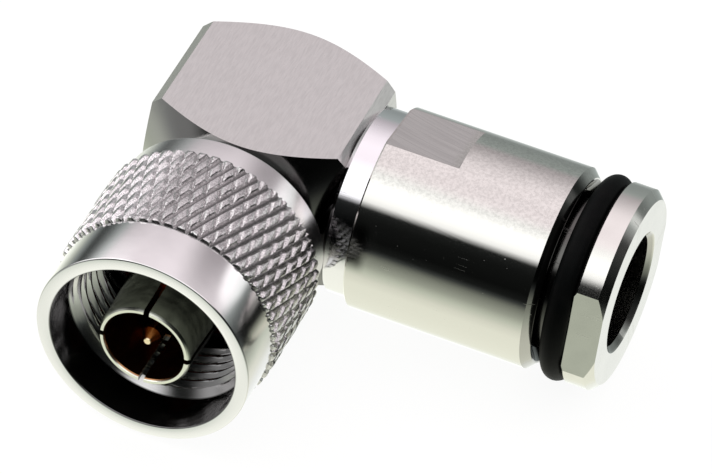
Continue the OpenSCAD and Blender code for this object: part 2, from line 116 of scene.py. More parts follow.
# %% Signals and trees
class Signal:
    """One output of a node tree, with Python's operators for Math nodes."""

    def __init__(self, tree, socket):
        self.tree = tree
        self.socket = socket

    def math(self, operation, *others):
        return self.tree.node("ShaderNodeMath", {"operation": operation}, [self, *others])

    def __add__(self, other):
        return self.math("ADD", other)

    def __sub__(self, other):
        return self.math("SUBTRACT", other)

    def __mul__(self, other):
        return self.math("MULTIPLY", other)

    def __truediv__(self, other):
        return self.math("DIVIDE", other)

    def __rsub__(self, other):
        return self * -1 + other

    __radd__ = __add__
    __rmul__ = __mul__

    def size(self):
        return self.math("ABSOLUTE")

    def rise(self, low, high):
        """0 below low, 1 above high, smooth between; high may be the lower of the two."""
        ease = {"interpolation_type": "SMOOTHSTEP"}
        if high < low:
            return 1 - self.rise(high, low)
        return self.tree.node("ShaderNodeMapRange", ease, {0: self, 1: low, 2: high})


class Tree:
    """The node tree of a material or a world."""

    def __init__(self, owner):
        owner.use_nodes = True
        self.nodes = owner.node_tree.nodes
        self.links = owner.node_tree.links
        self.nodes.clear()

    def node(self, kind, settings=None, sockets=None, output=0):
        made = self.nodes.new(kind)
        for name, value in (settings or {}).items():
            if name == "stops":
                self.set_stops(made.color_ramp, value)
            else:
                setattr(made, name, value)
        values = sockets if isinstance(sockets, dict) else dict(enumerate(sockets or []))
        for name, value in values.items():
            if isinstance(value, Signal):
                self.links.new(value.socket, made.inputs[name])
            else:
                made.inputs[name].default_value = value
        return Signal(self, made.outputs[output]) if made.outputs else made

    def set_stops(self, ramp, stops):
        for end in (0, -1):
            ramp.elements[end].position = stops[end][0]
            ramp.elements[end].color = (*stops[end][1], 1)
        for place, colour in stops[1:-1]:
            ramp.elements.new(place).color = (*colour, 1)

    def split(self, vector):
        """The x, y and z of a vector."""
        parts = self.node("ShaderNodeSeparateXYZ", None, [vector]).socket.node
        return [Signal(self, parts.outputs[axis]) for axis in "XYZ"]

    def join(self, x, y, z):
        return self.node("ShaderNodeCombineXYZ", None, [x, y, z])

    def noise(self, vector, scale=1, detail=2, rough=0.5):
        sockets = {"Vector": vector, "Scale": scale, "Detail": detail, "Roughness": rough}
        return self.node("ShaderNodeTexNoise", None, sockets)

    def mix(self, factor, a, b, blend="MIX"):
        """Colour a where the factor is 0 and colour b where it is 1."""
        colours = [(*c, 1) if isinstance(c, tuple) else c for c in (a, b)]
        settings = {"data_type": "RGBA", "blend_type": blend}
        return self.node("ShaderNodeMix", settings, {0: factor, 6: colours[0], 7: colours[1]}, 2)


print("helpers for shaders:", Signal.__name__, Tree.__name__)

# %% [markdown]
# ## Studio
# Polished metal is a picture of the room. For small bright parts one lays a white sheet
# below, hangs a large soft light overhead and leaves the side behind the camera dark, so
# that every cylinder gets a bright band beside a black one. The room could be built from
# cards and lamps, but cards would show in views from the side. So the world is painted
# instead, by height above the horizon, with three columns of brightness: for the back of
# the room, for its sides and for the front. Below the horizon it is the sheet as metal sees it.

# %% Heights of the room
def column(*heights):
    """Ramp stops from (degrees above the horizon, brightness, tint) steps."""
    return [((height + 90) / 180, tuple(light * c for c in tint)) for height, light, tint in heights]


sheet = (0.98, 1.0, 0.87)
far_sheet = (0.95, 1.02, 0.86)
clear_sheet = (0.98, 1.01, 0.98)
dusk = (0.93, 1.03, 1.0)
ceiling = (1.06, 0.98, 1.02)
window_white = (0.99, 1.0, 1.0)
room_back = column(
    (-90, 1.06, sheet), (-50, 1.08, clear_sheet), (-41, 0.98, clear_sheet), (-35, 0.46, dusk),
    (-26, 0.38, dusk), (-16, 0.31, dusk), (-6, 0.32, dusk), (4, 0.36, dusk), (13, 0.4, dusk),
    (23, 0.49, ceiling), (33, 0.65, ceiling), (43, 0.84, ceiling), (52, 1.0, ceiling),
    (66, 1.12, ceiling), (90, 1.04, ceiling))
room_side = column(
    (-90, 1.06, sheet), (-45, 1.0, sheet), (-36, 0.96, sheet), (-28, 0.75, far_sheet),
    (-19, 0.52, far_sheet), (-11, 0.29, dusk), (-3, 0.05, dusk), (2, 0.08, dusk), (8, 0.17, dusk),
    (16, 0.4, dusk), (24, 0.62, ceiling), (32, 0.8, ceiling), (39, 0.98, ceiling), (52, 1.05, ceiling),
    (66, 1.12, ceiling), (90, 1.04, ceiling))
room_front = column(
    (-90, 1.06, sheet), (-54, 1.02, sheet), (-44, 0.9, sheet), (-34, 0.68, far_sheet),
    (-25, 0.42, far_sheet), (-15, 0.24, far_sheet), (-8, 0.05, dusk), (-4, 0.012, dusk),
    (5, 0.005, dusk), (25, 0.008, dusk), (36, 0.015, dusk), (40, 0.6, window_white),
    (43, 1.2, window_white), (48, 1.4, window_white), (57, 1.55, window_white), (64, 1.5, window_white),
    (71, 1.27, window_white), (78, 1.15, ceiling), (90, 1.04, ceiling))
print("steps in the room's three columns:", len(room_back), len(room_side), len(room_front))

# %% [markdown]
# A room is not the same all round. Here a dark cloth, there a small lamp: each is a round
# patch in some direction, with a soft edge. Dark patches multiply the room and lamps add to
# it. Light Path's camera ray then turns the room plain white where the camera looks past
# the sheet. Metal still sees the room, with the pale sheet below and the ceiling above.

# %% World
studio = bpy.data.worlds.new("studio")
bpy.context.scene.world = studio
room = Tree(studio)
direction = room.node("ShaderNodeTexCoord", output="Generated")
east, north, up = room.split(direction)
height = up.math("ARCSINE") * math.degrees(1)
heading = east.math("ARCTAN2", north).size() * math.degrees(1)
back_to_side = (20, 44)
side_to_front = (75, 118)
to_side = heading.rise(*back_to_side)
to_front = heading.rise(*side_to_front)
print("directions of the room:", len(room.nodes), "nodes")

# %% Dark patches and lamps
def spot(azimuth_deg, height_deg, inner, outer):
    """1 within inner degrees of a direction, 0 beyond outer degrees."""
    turn, tilt = math.radians(azimuth_deg), math.radians(height_deg)
    centre = (math.sin(turn) * math.cos(tilt), math.cos(turn) * math.cos(tilt), math.sin(tilt))
    across = room.node("ShaderNodeVectorMath", {"operation": "DOT_PRODUCT"}, [direction, centre], 1)
    return (across.math("ARCCOSINE") * math.degrees(1)).rise(outer, inner)


# each with its share, then azimuth, height above the horizon, inner and outer radius
dark_patches = [
    (0.48, 27, 38, 4, 24), (0.75, 46, -12, 3, 12), (0.9, 88, 12, 18, 34), (0.35, 75, -25, 12, 30)]
small_lamps = [
    (0.85, 43, 21, 7, 13), (0.36, -35, -36, 4, 30), (0.4, 125, 36, 6, 16), (1.1, -85, 28, 16, 40),
    (0.2, -120, -5, 12, 30)]
shade = math.prod(1 - share * spot(*patch) for share, *patch in dark_patches)
glow = sum(share * spot(*lamp) for share, *lamp in small_lamps)
print("dark patches:", len(dark_patches), "small lamps:", len(small_lamps))

# %% Light of the room
behind, beside, before = [
    room.node("ShaderNodeValToRGB", {"stops": stops}, [height / 180 + 0.5])
    for stops in (room_back, room_side, room_front)]
light = room.mix(to_front, room.mix(to_side, behind, beside), before)
level, extra = [room.node("ShaderNodeCombineColor", None, [value] * 3) for value in (shade, glow)]
light = room.mix(1.0, room.mix(1.0, light, level, "MULTIPLY"), extra, "ADD")
is_camera = room.node("ShaderNodeLightPath", output="Is Camera Ray")
background = room.node("ShaderNodeBackground", None, [room.mix(is_camera, light, (1.0, 1.0, 1.0)), 1.0])
room.node("ShaderNodeOutputWorld", None, [background])
print("world nodes:", len(room.nodes))

# %% [markdown]
# The sheet itself is one large plane under the plug. It shows to the camera only, as white
# paper that keeps a faint shadow: most of its white is emission, and a small diffuse part
# is lit by the room and so darkens under the plug.

# %% Sheet
sheet_half = 1.5
paper_white = 0.93
paper_grey = (0.11, 0.11, 0.105, 1)
corners = [(-1, -1), (1, -1), (1, 1), (-1, 1)]
paper_mesh = bpy.data.meshes.new("paper")
paper_mesh.from_pydata([(x * sheet_half, y * sheet_half, floor_z) for x, y in corners], [], [(0, 1, 2, 3)])
paper = bpy.data.objects.new("paper", paper_mesh)
bpy.context.scene.collection.objects.link(paper)
white_paper = bpy.data.materials.new("white_paper")
tree = Tree(white_paper)
white = tree.node("ShaderNodeEmission", None, [(1, 1, 1, 1), paper_white])
lit = tree.node("ShaderNodeBsdfDiffuse", None, [paper_grey, 0.0])
both = tree.node("ShaderNodeAddShader", None, [white, lit])
tree.node("ShaderNodeOutputMaterial", None, [both])
paper_mesh.materials.append(white_paper)
paper.visible_glossy = False
paper.visible_diffuse = False
paper.visible_transmission = False
paper.visible_shadow = False
print("sheet at", round(floor_z / mm, 3), "mm")

# %% [markdown]
# ## Metal
# The plug is brass and bronze under a thin bright plating. What tells the pieces apart is
# how they were cut: a lathe leaves fine rings about its axis, a mill leaves long straight
# lines, and handling adds a few scratches. The base of every finish is the same. Noise that
# is stretched along the cut feeds a very small bump, and slower noise stains the colour and
# the roughness.

# %% Common parts of a finish
def place_in(tree):
    """The place on the piece, in millimetres."""
    spot_on = tree.node("ShaderNodeTexCoord", output="Object")
    settings = {"operation": "SCALE"}
    return tree.node("ShaderNodeVectorMath", settings, {0: spot_on, "Scale": 1 / mm})


About = namedtuple("About", "along radius side top")


def about_axis(tree, place, axis):
    """Distance along the axis, radius, and the side and top parts of the direction round it."""
    x, y, z = tree.split(place)
    along, across = (y, x) if axis == "plug" else (x, y - cable_y / mm)
    radius = (across * across + z * z).math("SQRT")
    return About(along, radius, across / radius, z / radius)


def begin(name, axis):
    """A new material, its tree, the place on the piece and its values about an axis."""
    material = bpy.data.materials.new(name)
    tree = Tree(material)
    place = place_in(tree)
    return material, tree, place, about_axis(tree, place, axis)


def shell(tree, colour, roughness, height, depth, metallic=1.0, specular=0.5):
    """The surface shader with its output, and a bump with a depth in millimetres."""
    sockets = {"Height": height, "Distance": depth * mm, "Strength": 1.0}
    bump = tree.node("ShaderNodeBump", None, sockets)
    sockets = {"Base Color": colour, "Roughness": roughness, "Metallic": metallic,
               "Specular IOR Level": specular, "Normal": bump}
    surface = tree.node("ShaderNodeBsdfPrincipled", None, sockets)
    tree.node("ShaderNodeOutputMaterial", None, [surface])


def stained(tree, place, colour, dull, scale):
    """A colour that drifts slowly towards a duller one."""
    return tree.mix(tree.noise(place, scale, 3).rise(0.35, 0.8), colour, dull)


def shaded(tree, colour, amount):
    """A colour that goes to black where the amount is 1."""
    return tree.mix(amount, colour, (0.0, 0.0, 0.0))


def tone(colour, level):
    return tuple(level * c for c in colour)


nickel = (0.75, 0.735, 0.70)
print("plating:", nickel)

# %% [markdown]
# ### Turned pieces
# The tool marks of a lathe are rings. A ring is where distance along the axis plus radius
# stays the same, so one noise in that sum marks cylinders and end faces alike. The
# direction round the axis goes in slowly, so the rings fade in and out as real ones do.
# Handling leaves nicks and a few long scratches on the outside, and none where a finger or
# a bench can't reach: so they are masked by the radius.

# %% Turned metal
radius_share = 0.83
fade_round = 1.2
tool_pitch = 0.07


def rings(tree, about, pitch):
    """Tool marks round the axis, about a pitch apart in millimetres."""
    step = (about.along + about.radius * radius_share) / pitch
    return tree.noise(tree.join(step, about.side * fade_round, about.top * fade_round), 1, 2)


def stretched(tree, about, per_mm, per_turn, detail, elsewhere=0):
    """Noise with one scale along the axis and another round it."""
    step = about.along * per_mm + elsewhere
    return tree.noise(tree.join(step, about.side * per_turn, about.top * per_turn), 1, detail)


def scratches(tree, about):
    """A few thin lines along the axis, in patches, and small nicks."""
    lines = stretched(tree, about, 0.16, 60, 0).rise(0.76, 0.78)
    patches = stretched(tree, about, 0.4, 2, 0, elsewhere=31).rise(0.58, 0.62)
    nicks = stretched(tree, about, 3.5, 34, 1).rise(0.77, 0.8)
    return (lines * patches).math("MAXIMUM", nicks)


def lathe_work(tree, place, about, roughness, colour, outside=1):
    """Colour, roughness and height of a turned surface, with scratches only outside."""
    marks = rings(tree, about, tool_pitch) + rings(tree, about, tool_pitch * 5) * 0.6
    grain = tree.noise(place, 9, 3, 0.7)
    scratch = scratches(tree, about) * outside
    matt = roughness + (grain - 0.5) * 0.1 + (marks - 0.8) * 0.05 + scratch * 0.2
    height = marks + grain * 0.5 + scratch * 0.8
    return stained(tree, place, colour, tone(colour, 0.94), 0.5), matt, height


def turned(name, axis, roughness, ring_depth, colour):
    material, tree, place, about = begin(name, axis)
    colours, matt, height = lathe_work(tree, place, about, roughness, colour)
    shell(tree, colours, matt, height, ring_depth)
    return material


turned_cap = turned("turned_nickel_cap", "plug", 0.24, 0.0016, nickel)
white_bronze = turned("white_bronze_ring", "plug", 0.24, 0.0012, (0.66, 0.68, 0.63))
print("turned finishes:", turned_cap.name, white_bronze.name)

# %% [markdown]
# The clamp nut is turned too, but no light gets into its bore or into the gap where the
# O-ring sits, so both are darker. Its spigot carries the thread that screws into the sleeve.
# It shows only when the nut is screwed out, so a bump on the plain spigot is enough: the
# turn about the axis, taken from the distance along it, repeats once for each pitch.

# %% Clamp nut
clamp_pitch = 1.0
clamp_thread_depth = 0.16
clamp_bevel_r = 5.25
gap_start = sleeve_high.x / mm - 0.2
gap_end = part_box("o_ring")[1].x / mm + 0.05
thread_end = gap_start - 0.6


def thread_wave(about, pitch):
    """A right-handed thread: 0 in its root, 1 on its crest."""
    turn = about.top.math("ARCTAN2", about.side) / (2 * math.pi)
    return ((about.along / pitch - turn).math("FRACT") - 0.5).size() * 2


def clamp_metal(name, roughness, ring_depth, colour):
    material, tree, place, about = begin(name, "cable")
    outside = about.radius.rise(clamp_bevel_r - 0.1, clamp_bevel_r + 0.1)
    colours, matt, height = lathe_work(tree, place, about, roughness, colour, outside=outside)
    colours = shaded(tree, colours, (1 - outside) * 0.4)
    gap = about.along.rise(gap_start - 0.3, gap_start) * about.along.rise(gap_end + 0.02, gap_end)
    colours = shaded(tree, colours, gap * 0.85)
    thread = thread_wave(about, clamp_pitch) * about.along.rise(thread_end + 0.1, thread_end)
    height = height + thread * outside * (clamp_thread_depth / ring_depth)
    shell(tree, colours, matt, height, ring_depth)
    return material


clamp_nickel = clamp_metal("turned_nickel_clamp", 0.14, 0.0009, nickel)
print("clamp gap from", round(gap_start, 2), "to", round(gap_end, 2), "mm")

# %% [markdown]
# The sleeve is the largest turned surface and shows more of its making. After turning it was
# held on a spindle and two wrench flats were milled: the cutter left close arcs across each
# flat, a paler strip where it ran out, and the hand that took off the burr left wide faint
# arcs on the round beside it. Arcs are noise in the distance from a far centre.

# %% Sizes of the sleeve
outer = sleeve_r / mm
sleeve_bore_r = outer - 2.98
block_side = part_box("body_block")[1].x / mm
flat_start = block_side + 2.35
flat_end = flat_start + 6.6
flat_run_out = 1.1
flat_edge = 0.16
cutter_x = flat_end + 4.3
cutter_y = cable_y / mm + 30.66
shoulder_bevel = 0.3
sleeve_end = sleeve_high.x / mm
end_bevel_width = 0.7
seat_r = outer - 0.82
butt_top = 6.8
joint_top = 7.4
near_nut_end = flat_start + 1.9
near_nut_y = cable_y / mm - 4.34
print("flat between", round(flat_start, 2), "and", round(flat_end, 2), "mm")

# %% Wrench flats
def cutter_arcs(tree, x, y, z):
    """Close arcs about the far centre of the cutter."""
    aside, ahead = x - cutter_x, y - cutter_y
    from_cutter = (aside * aside + ahead * ahead).math("SQRT")
    return tree.noise(tree.join(from_cutter * 6, x * 0.15, z * 0.5), 1, 2)


def outside_bore(about):
    """1 on the outside of the sleeve and 0 in its bore."""
    return about.radius.rise(sleeve_bore_r, sleeve_bore_r + 0.1)


def flat_masks(about):
    """1 on the flats, 1 where the cutter ran out, and 1 on the line at their end, painted as the step's
    shade.
    """
    on_flat = about.radius.rise(outer - 0.015, outer - 0.035) * outside_bore(about)
    on_flat = on_flat * about.along.rise(flat_start + flat_edge - 0.02, flat_start + flat_edge + 0.02)
    on_flat = on_flat * about.along.rise(flat_end, flat_end - 0.02)
    run_out = on_flat * about.along.rise(flat_end - flat_run_out, flat_end - 0.3)
    return on_flat, run_out, on_flat * about.along.rise(flat_end - 0.14, flat_end - 0.1)


print("cutter's centre at", round(cutter_x, 2), round(cutter_y, 2), "mm")

# %% [markdown]
# Shade is painted into the sleeve's colour. The face that meets the block, its small bevel, the
# bevel at the open end and the seat behind it are all painted darker, and so are the bore and the
# side that turns to the nut, where the two pieces stand close. Each is a mask made of distances.

# %% Painted shade of the sleeve
def painted_sleeve_shade(about, y, z):
    """Pairs of a mask of painted shade and how dark it is."""
    butt = about.along.rise(block_side + 0.06, block_side + 0.02) * z.rise(butt_top, butt_top - 0.6)
    joint = about.along.rise(block_side + shoulder_bevel, block_side + shoulder_bevel - 0.05)
    joint = joint * about.along.rise(block_side + 0.02, block_side + 0.06) * z.rise(joint_top, joint_top - 1)
    bevel_start = sleeve_end - end_bevel_width
    end_bevel = about.along.rise(bevel_start - 0.01, bevel_start + 0.01) * about.side.rise(0.5, 0.1)
    seat = about.radius.rise(seat_r + 0.02, seat_r - 0.02)
    seat = seat * about.along.rise(bevel_start - 0.25, bevel_start - 0.2)
    near_nut = about.along.rise(near_nut_end, near_nut_end - 1) * y.rise(near_nut_y, near_nut_y - 1)
    near_nut = near_nut * about.top.rise(0.02, 0.2) * about.top.rise(0.58, 0.46) * outside_bore(about)
    return [(butt + joint, 0.85), (end_bevel, about.top.rise(0.2, 0.95) * 0.5 + 0.4), (seat, 0.95),
            (near_nut, 0.8), (1 - outside_bore(about), 0.6)]


print("end bevel from", round(sleeve_end - end_bevel_width, 2), "mm")

# %% Sleeve
def sleeve_metal(name, roughness, ring_depth, colour):
    material, tree, place, about = begin(name, "cable")
    x, y, z = tree.split(place)
    marks = rings(tree, about, 0.06) + rings(tree, about, 0.35) * 0.5
    grain = tree.noise(place, 7, 4, 0.75)
    outside = outside_bore(about)
    scratch = scratches(tree, about) * outside
    arcs = cutter_arcs(tree, x, y, z)
    on_flat, run_out, step_shade_line = flat_masks(about)
    near_flat = (about.along - flat_end).size().rise(4.5, 1.5) * outside
    matt = roughness + (grain - 0.5) * 0.12 + on_flat * 0.16 + scratch * 0.2
    lathe = (marks + grain * 0.5 + scratch * 0.8) * (1 - on_flat)
    height = lathe + arcs * (near_flat * 2.4 + on_flat * 1.3)
    # darker mottling on the upper side of the sleeve
    upper_mottle = tree.noise(place, 3.5, 6, 0.8).rise(0.4, 0.62) * about.top.rise(0.79, 0.87)
    colours = tree.mix(upper_mottle, colour, tone(colour, 0.8))
    flat_colour = tree.mix(arcs.rise(0.35, 0.7), (0.755, 0.735, 0.715), (0.65, 0.63, 0.615))
    colours = tree.mix(on_flat * (1 - run_out), colours, flat_colour)
    colours = tree.mix(about.along.rise(flat_start, flat_start - 0.02), colours, (0.86, 0.845, 0.87))
    # painted shade of the step at the end of the flat
    colours = shaded(tree, colours, step_shade_line * 0.3)
    # painted shade on the block face and its bevel, the end bevel, the seat, the side by the nut and the bore
    for mask, amount in painted_sleeve_shade(about, y, z):
        colours = shaded(tree, colours, mask * amount)
    shell(tree, colours, matt, height, ring_depth)
    return material


sleeve_nickel = sleeve_metal("turned_nickel_sleeve", 0.075, 0.0009, tone(nickel, 0.98))
print("sleeve finish:", sleeve_nickel.name)

# %% [markdown]
# The block is a piece of square bar. Its four sides keep the fine lines of the mill, all in
# the direction of the plug, under a matt of tumbling. Its two ends were turned to a cone
# with a sharp tool and are much brighter, which is why one goes black where it mirrors the
# dark side of the room. The normal tells the two apart.

# %% Milled block
def milled(name, roughness, line_depth, colour):
    material, tree, place, about = begin(name, "plug")
    x, y, z = tree.split(place)
    facing = tree.node("ShaderNodeTexCoord", output="Normal")
    end = tree.split(facing)[1].size().rise(0.15, 0.25)
    side = 1 - end
    lines = tree.noise(tree.join(x * 7, y * 0.9, z * 7), 1, 4, 0.7)
    long_lines = tree.noise(tree.join(x * 3, y * 0.12, z * 3), 1, 2)
    marks = (lines * 1.4 + long_lines * 0.5) * side + rings(tree, about, 0.12) * end * 0.3
    grain = tree.noise(place, 11, 3, 0.7)
    matt = roughness - end * (roughness - 0.12) + (lines - 0.5) * 0.14 * side
    colours = tree.mix(lines.rise(0.3, 0.75) * side, colour, tone(colour, 0.86))
    # painted shade on the turned end beside the nut, where the collar keeps light out
    shade_beside_nut = end * y.rise(cable_y / mm, cable_y / mm - 1) * x.rise(-2, 0.5)
    shade_beside_nut = shade_beside_nut * about.radius.rise(knurl_r / mm + 1.8, knurl_r / mm + 0.8)
    colours = shaded(tree, colours, shade_beside_nut * 0.7)
    shell(tree, colours, matt, marks + grain * 0.3 * side, line_depth)
    return material


milled_nickel = milled("milled_nickel_lines", 0.3, 0.004, (0.665, 0.655, 0.64))
print("milled finish:", milled_nickel.name)

# %% [markdown]
# The outer contact was plated white bronze. Its front edge keeps that bright colour,
# and the rest of the tube, inside the nut, is much darker.

# %% Outer contact
contact_bore_r = 3.7
contact_bright_to = 0.1


def contact_metal(name, roughness, ring_depth):
    material, tree, place, about = begin(name, "plug")
    marks = rings(tree, about, 0.09)
    grain = tree.noise(place, 9, 3, 0.7)
    # the tube behind the front edge is darker, and its bore brown
    dull = about.along.rise(contact_bright_to - 0.06, contact_bright_to + 0.06)
    colours = tree.mix(dull, (0.80, 0.81, 0.72), (0.21, 0.22, 0.19))
    inner = dull * about.radius.rise(contact_bore_r + 0.1, contact_bore_r - 0.1)
    colours = tree.mix(inner, colours, (0.42, 0.21, 0.09))
    shell(tree, colours, roughness + (grain - 0.5) * 0.1, marks + grain * 0.4, ring_depth)
    return material


contact_bronze = contact_metal("white_bronze_contact", 0.2, 0.0012)
print("contact finish:", contact_bronze.name)

# %% [markdown]
# The pin is gold plated. Deep in the dark tube gold looks brown, so its colour is painted dark
# brown as shade, and the very tip, which catches the light, is painted pale gold as a highlight.
# So the tip takes its own colour by distance along the pin.

# %% Pin
pin_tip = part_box("centre_pin")[0].y / mm


def pin_metal(name, roughness, ring_depth, colour, bright_tip_colour):
    """Gold plating, painted dark brown as shade along the pin and pale gold as a highlight on the very tip.
    """
    material, tree, place, about = begin(name, "plug")
    marks = rings(tree, about, 0.08)
    grain = tree.noise(place, 9, 3, 0.7)
    # painted highlight on the tip; the rest of the pin is painted shade
    tip = about.along.rise(pin_tip + 0.12, pin_tip + 0.03)
    colours = tree.mix(tip, stained(tree, place, colour, tone(colour, 0.8), 0.9), bright_tip_colour)
    shell(tree, colours, roughness + (grain - 0.5) * 0.1, marks + grain * 0.4, ring_depth)
    return material


gold = pin_metal("gold_plate_pin", 0.24, 0.001, (0.22, 0.085, 0.022), (0.95, 0.8, 0.55))
print("pin's tip at", round(pin_tip, 2), "mm")

# %% [markdown]
# Beads, gaskets and O-rings are turned or moulded from soft stuff that takes no tool marks.
# One fine grain, in colour, roughness and height, is all they need. Rubber is nearly black
# and hardly shines, so its specular level is low as well.

# %% Plastic and rubber
def plain(name, colour, dull, roughness, bump, specular=0.5):
    """A moulded surface with fine grain and no direction."""
    material = bpy.data.materials.new(name)
    tree = Tree(material)
    place = place_in(tree)
    grain = tree.noise(place, 6, 4, 0.6)
    colours = stained(tree, place, colour, dull, 0.8)
    shell(tree, colours, roughness + (grain - 0.5) * 0.2, grain, bump, 0.0, specular)
    return material


bead_plastic = plain("bead_plastic_white", (0.62, 0.60, 0.55), (0.5, 0.48, 0.42), 0.42, 0.003)
silicone = plain("red_silicone_gasket", (0.10, 0.006, 0.006), (0.05, 0.004, 0.004), 0.5, 0.01, specular=0.2)
rubber = plain("black_rubber_ring", (0.002, 0.0025, 0.0025), (0.004, 0.004, 0.004), 0.5, 0.006, specular=0.05)
print("moulded finishes:", bead_plastic.name, silicone.name, rubber.name)

# %% [markdown]
# ## Coupling nut
# The nut's knurl is the first thing one sees and feels, so it is cut here tooth by tooth.
# Two sets of V grooves cross at slightly different slopes. In a lattice that runs along the
# grooves, each set is a row of whole numbers, and the distance to the nearest one gives the
# depth of the cut. A bump would give the shine but not the ragged outline, so it is mesh.

# %% Sizes of the nut
band_r = knurl_r - 0.4 * mm
collar_r = knurl_r - 0.7 * mm
collar_round = 0.15 * mm
knurl_front = nut_low.y + 4.88 * mm
knurl_rear = knurl_front + 9.26 * mm
nut_rear = nut_high.y
mouth_r = band_r - 1.19 * mm
thread_r = mouth_r - 0.26 * mm
thread_minor_r = thread_r - 0.51 * mm
undercut_r = thread_r + 0.16 * mm
thread_front = nut_low.y + 3.7 * mm
thread_pitch = 1.058 * mm
thread_turns = 5
undercut_y = thread_front + (mouth_r - thread_minor_r) / 2 + thread_turns * thread_pitch
ring_low, ring_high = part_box("retaining_ring")
ring_gap = 0.15 * mm
neck_step_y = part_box("front_gasket")[1].y + 0.2 * mm
ring_groove_r = ring_high.x + ring_gap
bore_r = ring_high.x - 0.5 * mm
print("nut radii:", [round(r / mm, 2) for r in (knurl_r, band_r, collar_r, mouth_r, thread_r, bore_r)])

# %% [markdown]
# The knurl is a field of heights over the angle and the length. A lathe tool presses one set
# of grooves a little deeper than the other, so one reads as long lines and the other as
# notches between them. Each tooth gets a slightly different height, as wear gives it, and
# its crown falls off towards the grooves.

# %% Sizes of the knurl
deep_grooves = 54
shallow_grooves = 51
deep_lean = 3.36
shallow_lean = 2.64
cuts = 13
rows_of_cuts = 76
valley_r = band_r - 0.08 * mm
knurl_bevel = 0.16 * mm
groove_floor = 0.05
groove_slope = 2.0
valley_blend = 0.12
crown_drop = 0.14
least_wear = 0.82
tear = 0.009 * mm
columns = deep_grooves * cuts
coarse = columns // 3
print("knurl from", round(knurl_front / mm, 2), "to", round(knurl_rear / mm, 2), "mm, columns:", columns)

# %% Knurl rows
def off_groove(place):
    """How far a place is from the nearest groove: 0 in it, 1 half way to the next."""
    return abs(place - round(place)) * 2


def tooth_height(a, b, worn):
    """Height of the knurl, from 0 in the deep grooves to 1 on a tooth."""
    deep = (off_groove(a) - groove_floor) * groove_slope
    shallow_floor = 0.2 + (1 - worn) * 1.2
    shallow = shallow_floor + (1 - shallow_floor) * off_groove(b) * groove_slope
    low, high = sorted((deep, shallow))
    blend = max(0.0, valley_blend - (high - low)) ** 2 / (4 * valley_blend)
    crown = worn - crown_drop * ((1 - off_groove(a)) ** 2 + (1 - off_groove(b)) ** 2)
    return max(0.0, min(crown, low - blend))


def knurl_ring(row):
    """Angles and radii of one ring of the knurl, row cuts back from its front."""
    back_share = row / rows_of_cuts
    to_end = min(row, rows_of_cuts - row) / rows_of_cuts * (knurl_rear - knurl_front)
    ring = []
    for column in range(columns):
        a = column / cuts
        turn = (a + deep_lean * back_share) / deep_grooves
        b = turn * shallow_grooves + shallow_lean * back_share
        height = min(tooth_height(a, b, wear[int(a)][int(b) % shallow_grooves]), to_end / knurl_bevel)
        torn = chance.uniform(-1, 1) * tear * min(1, row, rows_of_cuts - row)
        ring.append((2 * math.pi * turn, min(knurl_r, valley_r + (knurl_r - valley_r) * height + torn)))
    return ring


chance = random.Random(5)
wear = [[chance.uniform(least_wear, 1.0) for _ in range(shallow_grooves)] for _ in range(deep_grooves)]
knurl_rings = [knurl_ring(row) for row in range(rows_of_cuts + 1)]
print("knurl rings:", len(knurl_rings), "points:", len(knurl_rings) * columns)

# %% [markdown]
# The rest of the nut is turned: a list of corners from the knurl round the back, through
# the bore and out over the front rim. The thread inside is a true helix, so its rings have
# a radius that changes with the angle.

# %% Corners and thread
thread_slope = 3.2
thread_root_flat = 0.35


def arc(centre_r, centre_y, radius, start, end, steps=6):
    """Corners along an arc; angle 0 points outwards and 90 to the rear."""
    turns = [math.radians(start + (end - start) * k / steps) for k in range(steps + 1)]
    return [(centre_r + radius * math.cos(t), centre_y + radius * math.sin(t)) for t in turns]


def thread_radius(angle, y):
    """Radius of the internal right-hand thread, with its lead-in cone."""
    phase = ((y - thread_front) / thread_pitch - angle / (2 * math.pi)) % 1
    ramp = thread_slope * (0.5 - abs(phase - 0.5)) - thread_root_flat
    groove = thread_minor_r + (thread_r - thread_minor_r) * min(1.0, max(0.0, ramp))
    lead_in = mouth_r - (y - thread_front)
    return max(groove, lead_in)


print("thread from", round(thread_front / mm, 2), "to", round(undercut_y / mm, 2), "mm")

# %% Turned outline
edge = 0.1 * mm
front_round = 0.14 * mm
rear_side = (
    [(collar_r, knurl_rear + 0.02 * mm)]
    + arc(collar_r - collar_round, nut_rear - collar_round, collar_round, 0, 90)
    + arc(bore_r + edge, nut_rear - edge, edge, 90, 180, 3)
    + [(bore_r, ring_high.y + ring_gap), (ring_groove_r, ring_high.y + ring_gap),
       (ring_groove_r, ring_low.y - ring_gap), (bore_r, ring_low.y - ring_gap), (bore_r, neck_step_y),
       (undercut_r, neck_step_y), (undercut_r, undercut_y), (thread_r, undercut_y)])
front_side = (
    [(mouth_r, thread_front - 0.02 * mm)]
    + arc(mouth_r + edge, nut_low.y + edge, edge, 180, 270, 3)
    + arc(band_r - front_round, nut_low.y + front_round, front_round, -90, 0, 4)
    + [(band_r, knurl_front - 0.04 * mm), (band_r - 0.03 * mm, knurl_front - 0.01 * mm)])
print("corners behind and before the thread:", len(rear_side), len(front_side))

# %% [markdown]
# The mesh is laid ring by ring. The knurl's rings have all the columns and share one place
# along the axis each, and the turned rest needs only a third of them. A fan of triangles
# joins the fine rings to the coarse ones, three columns to one. `NutMesh` keeps the points
# and the faces and knows these three ways to lay them.

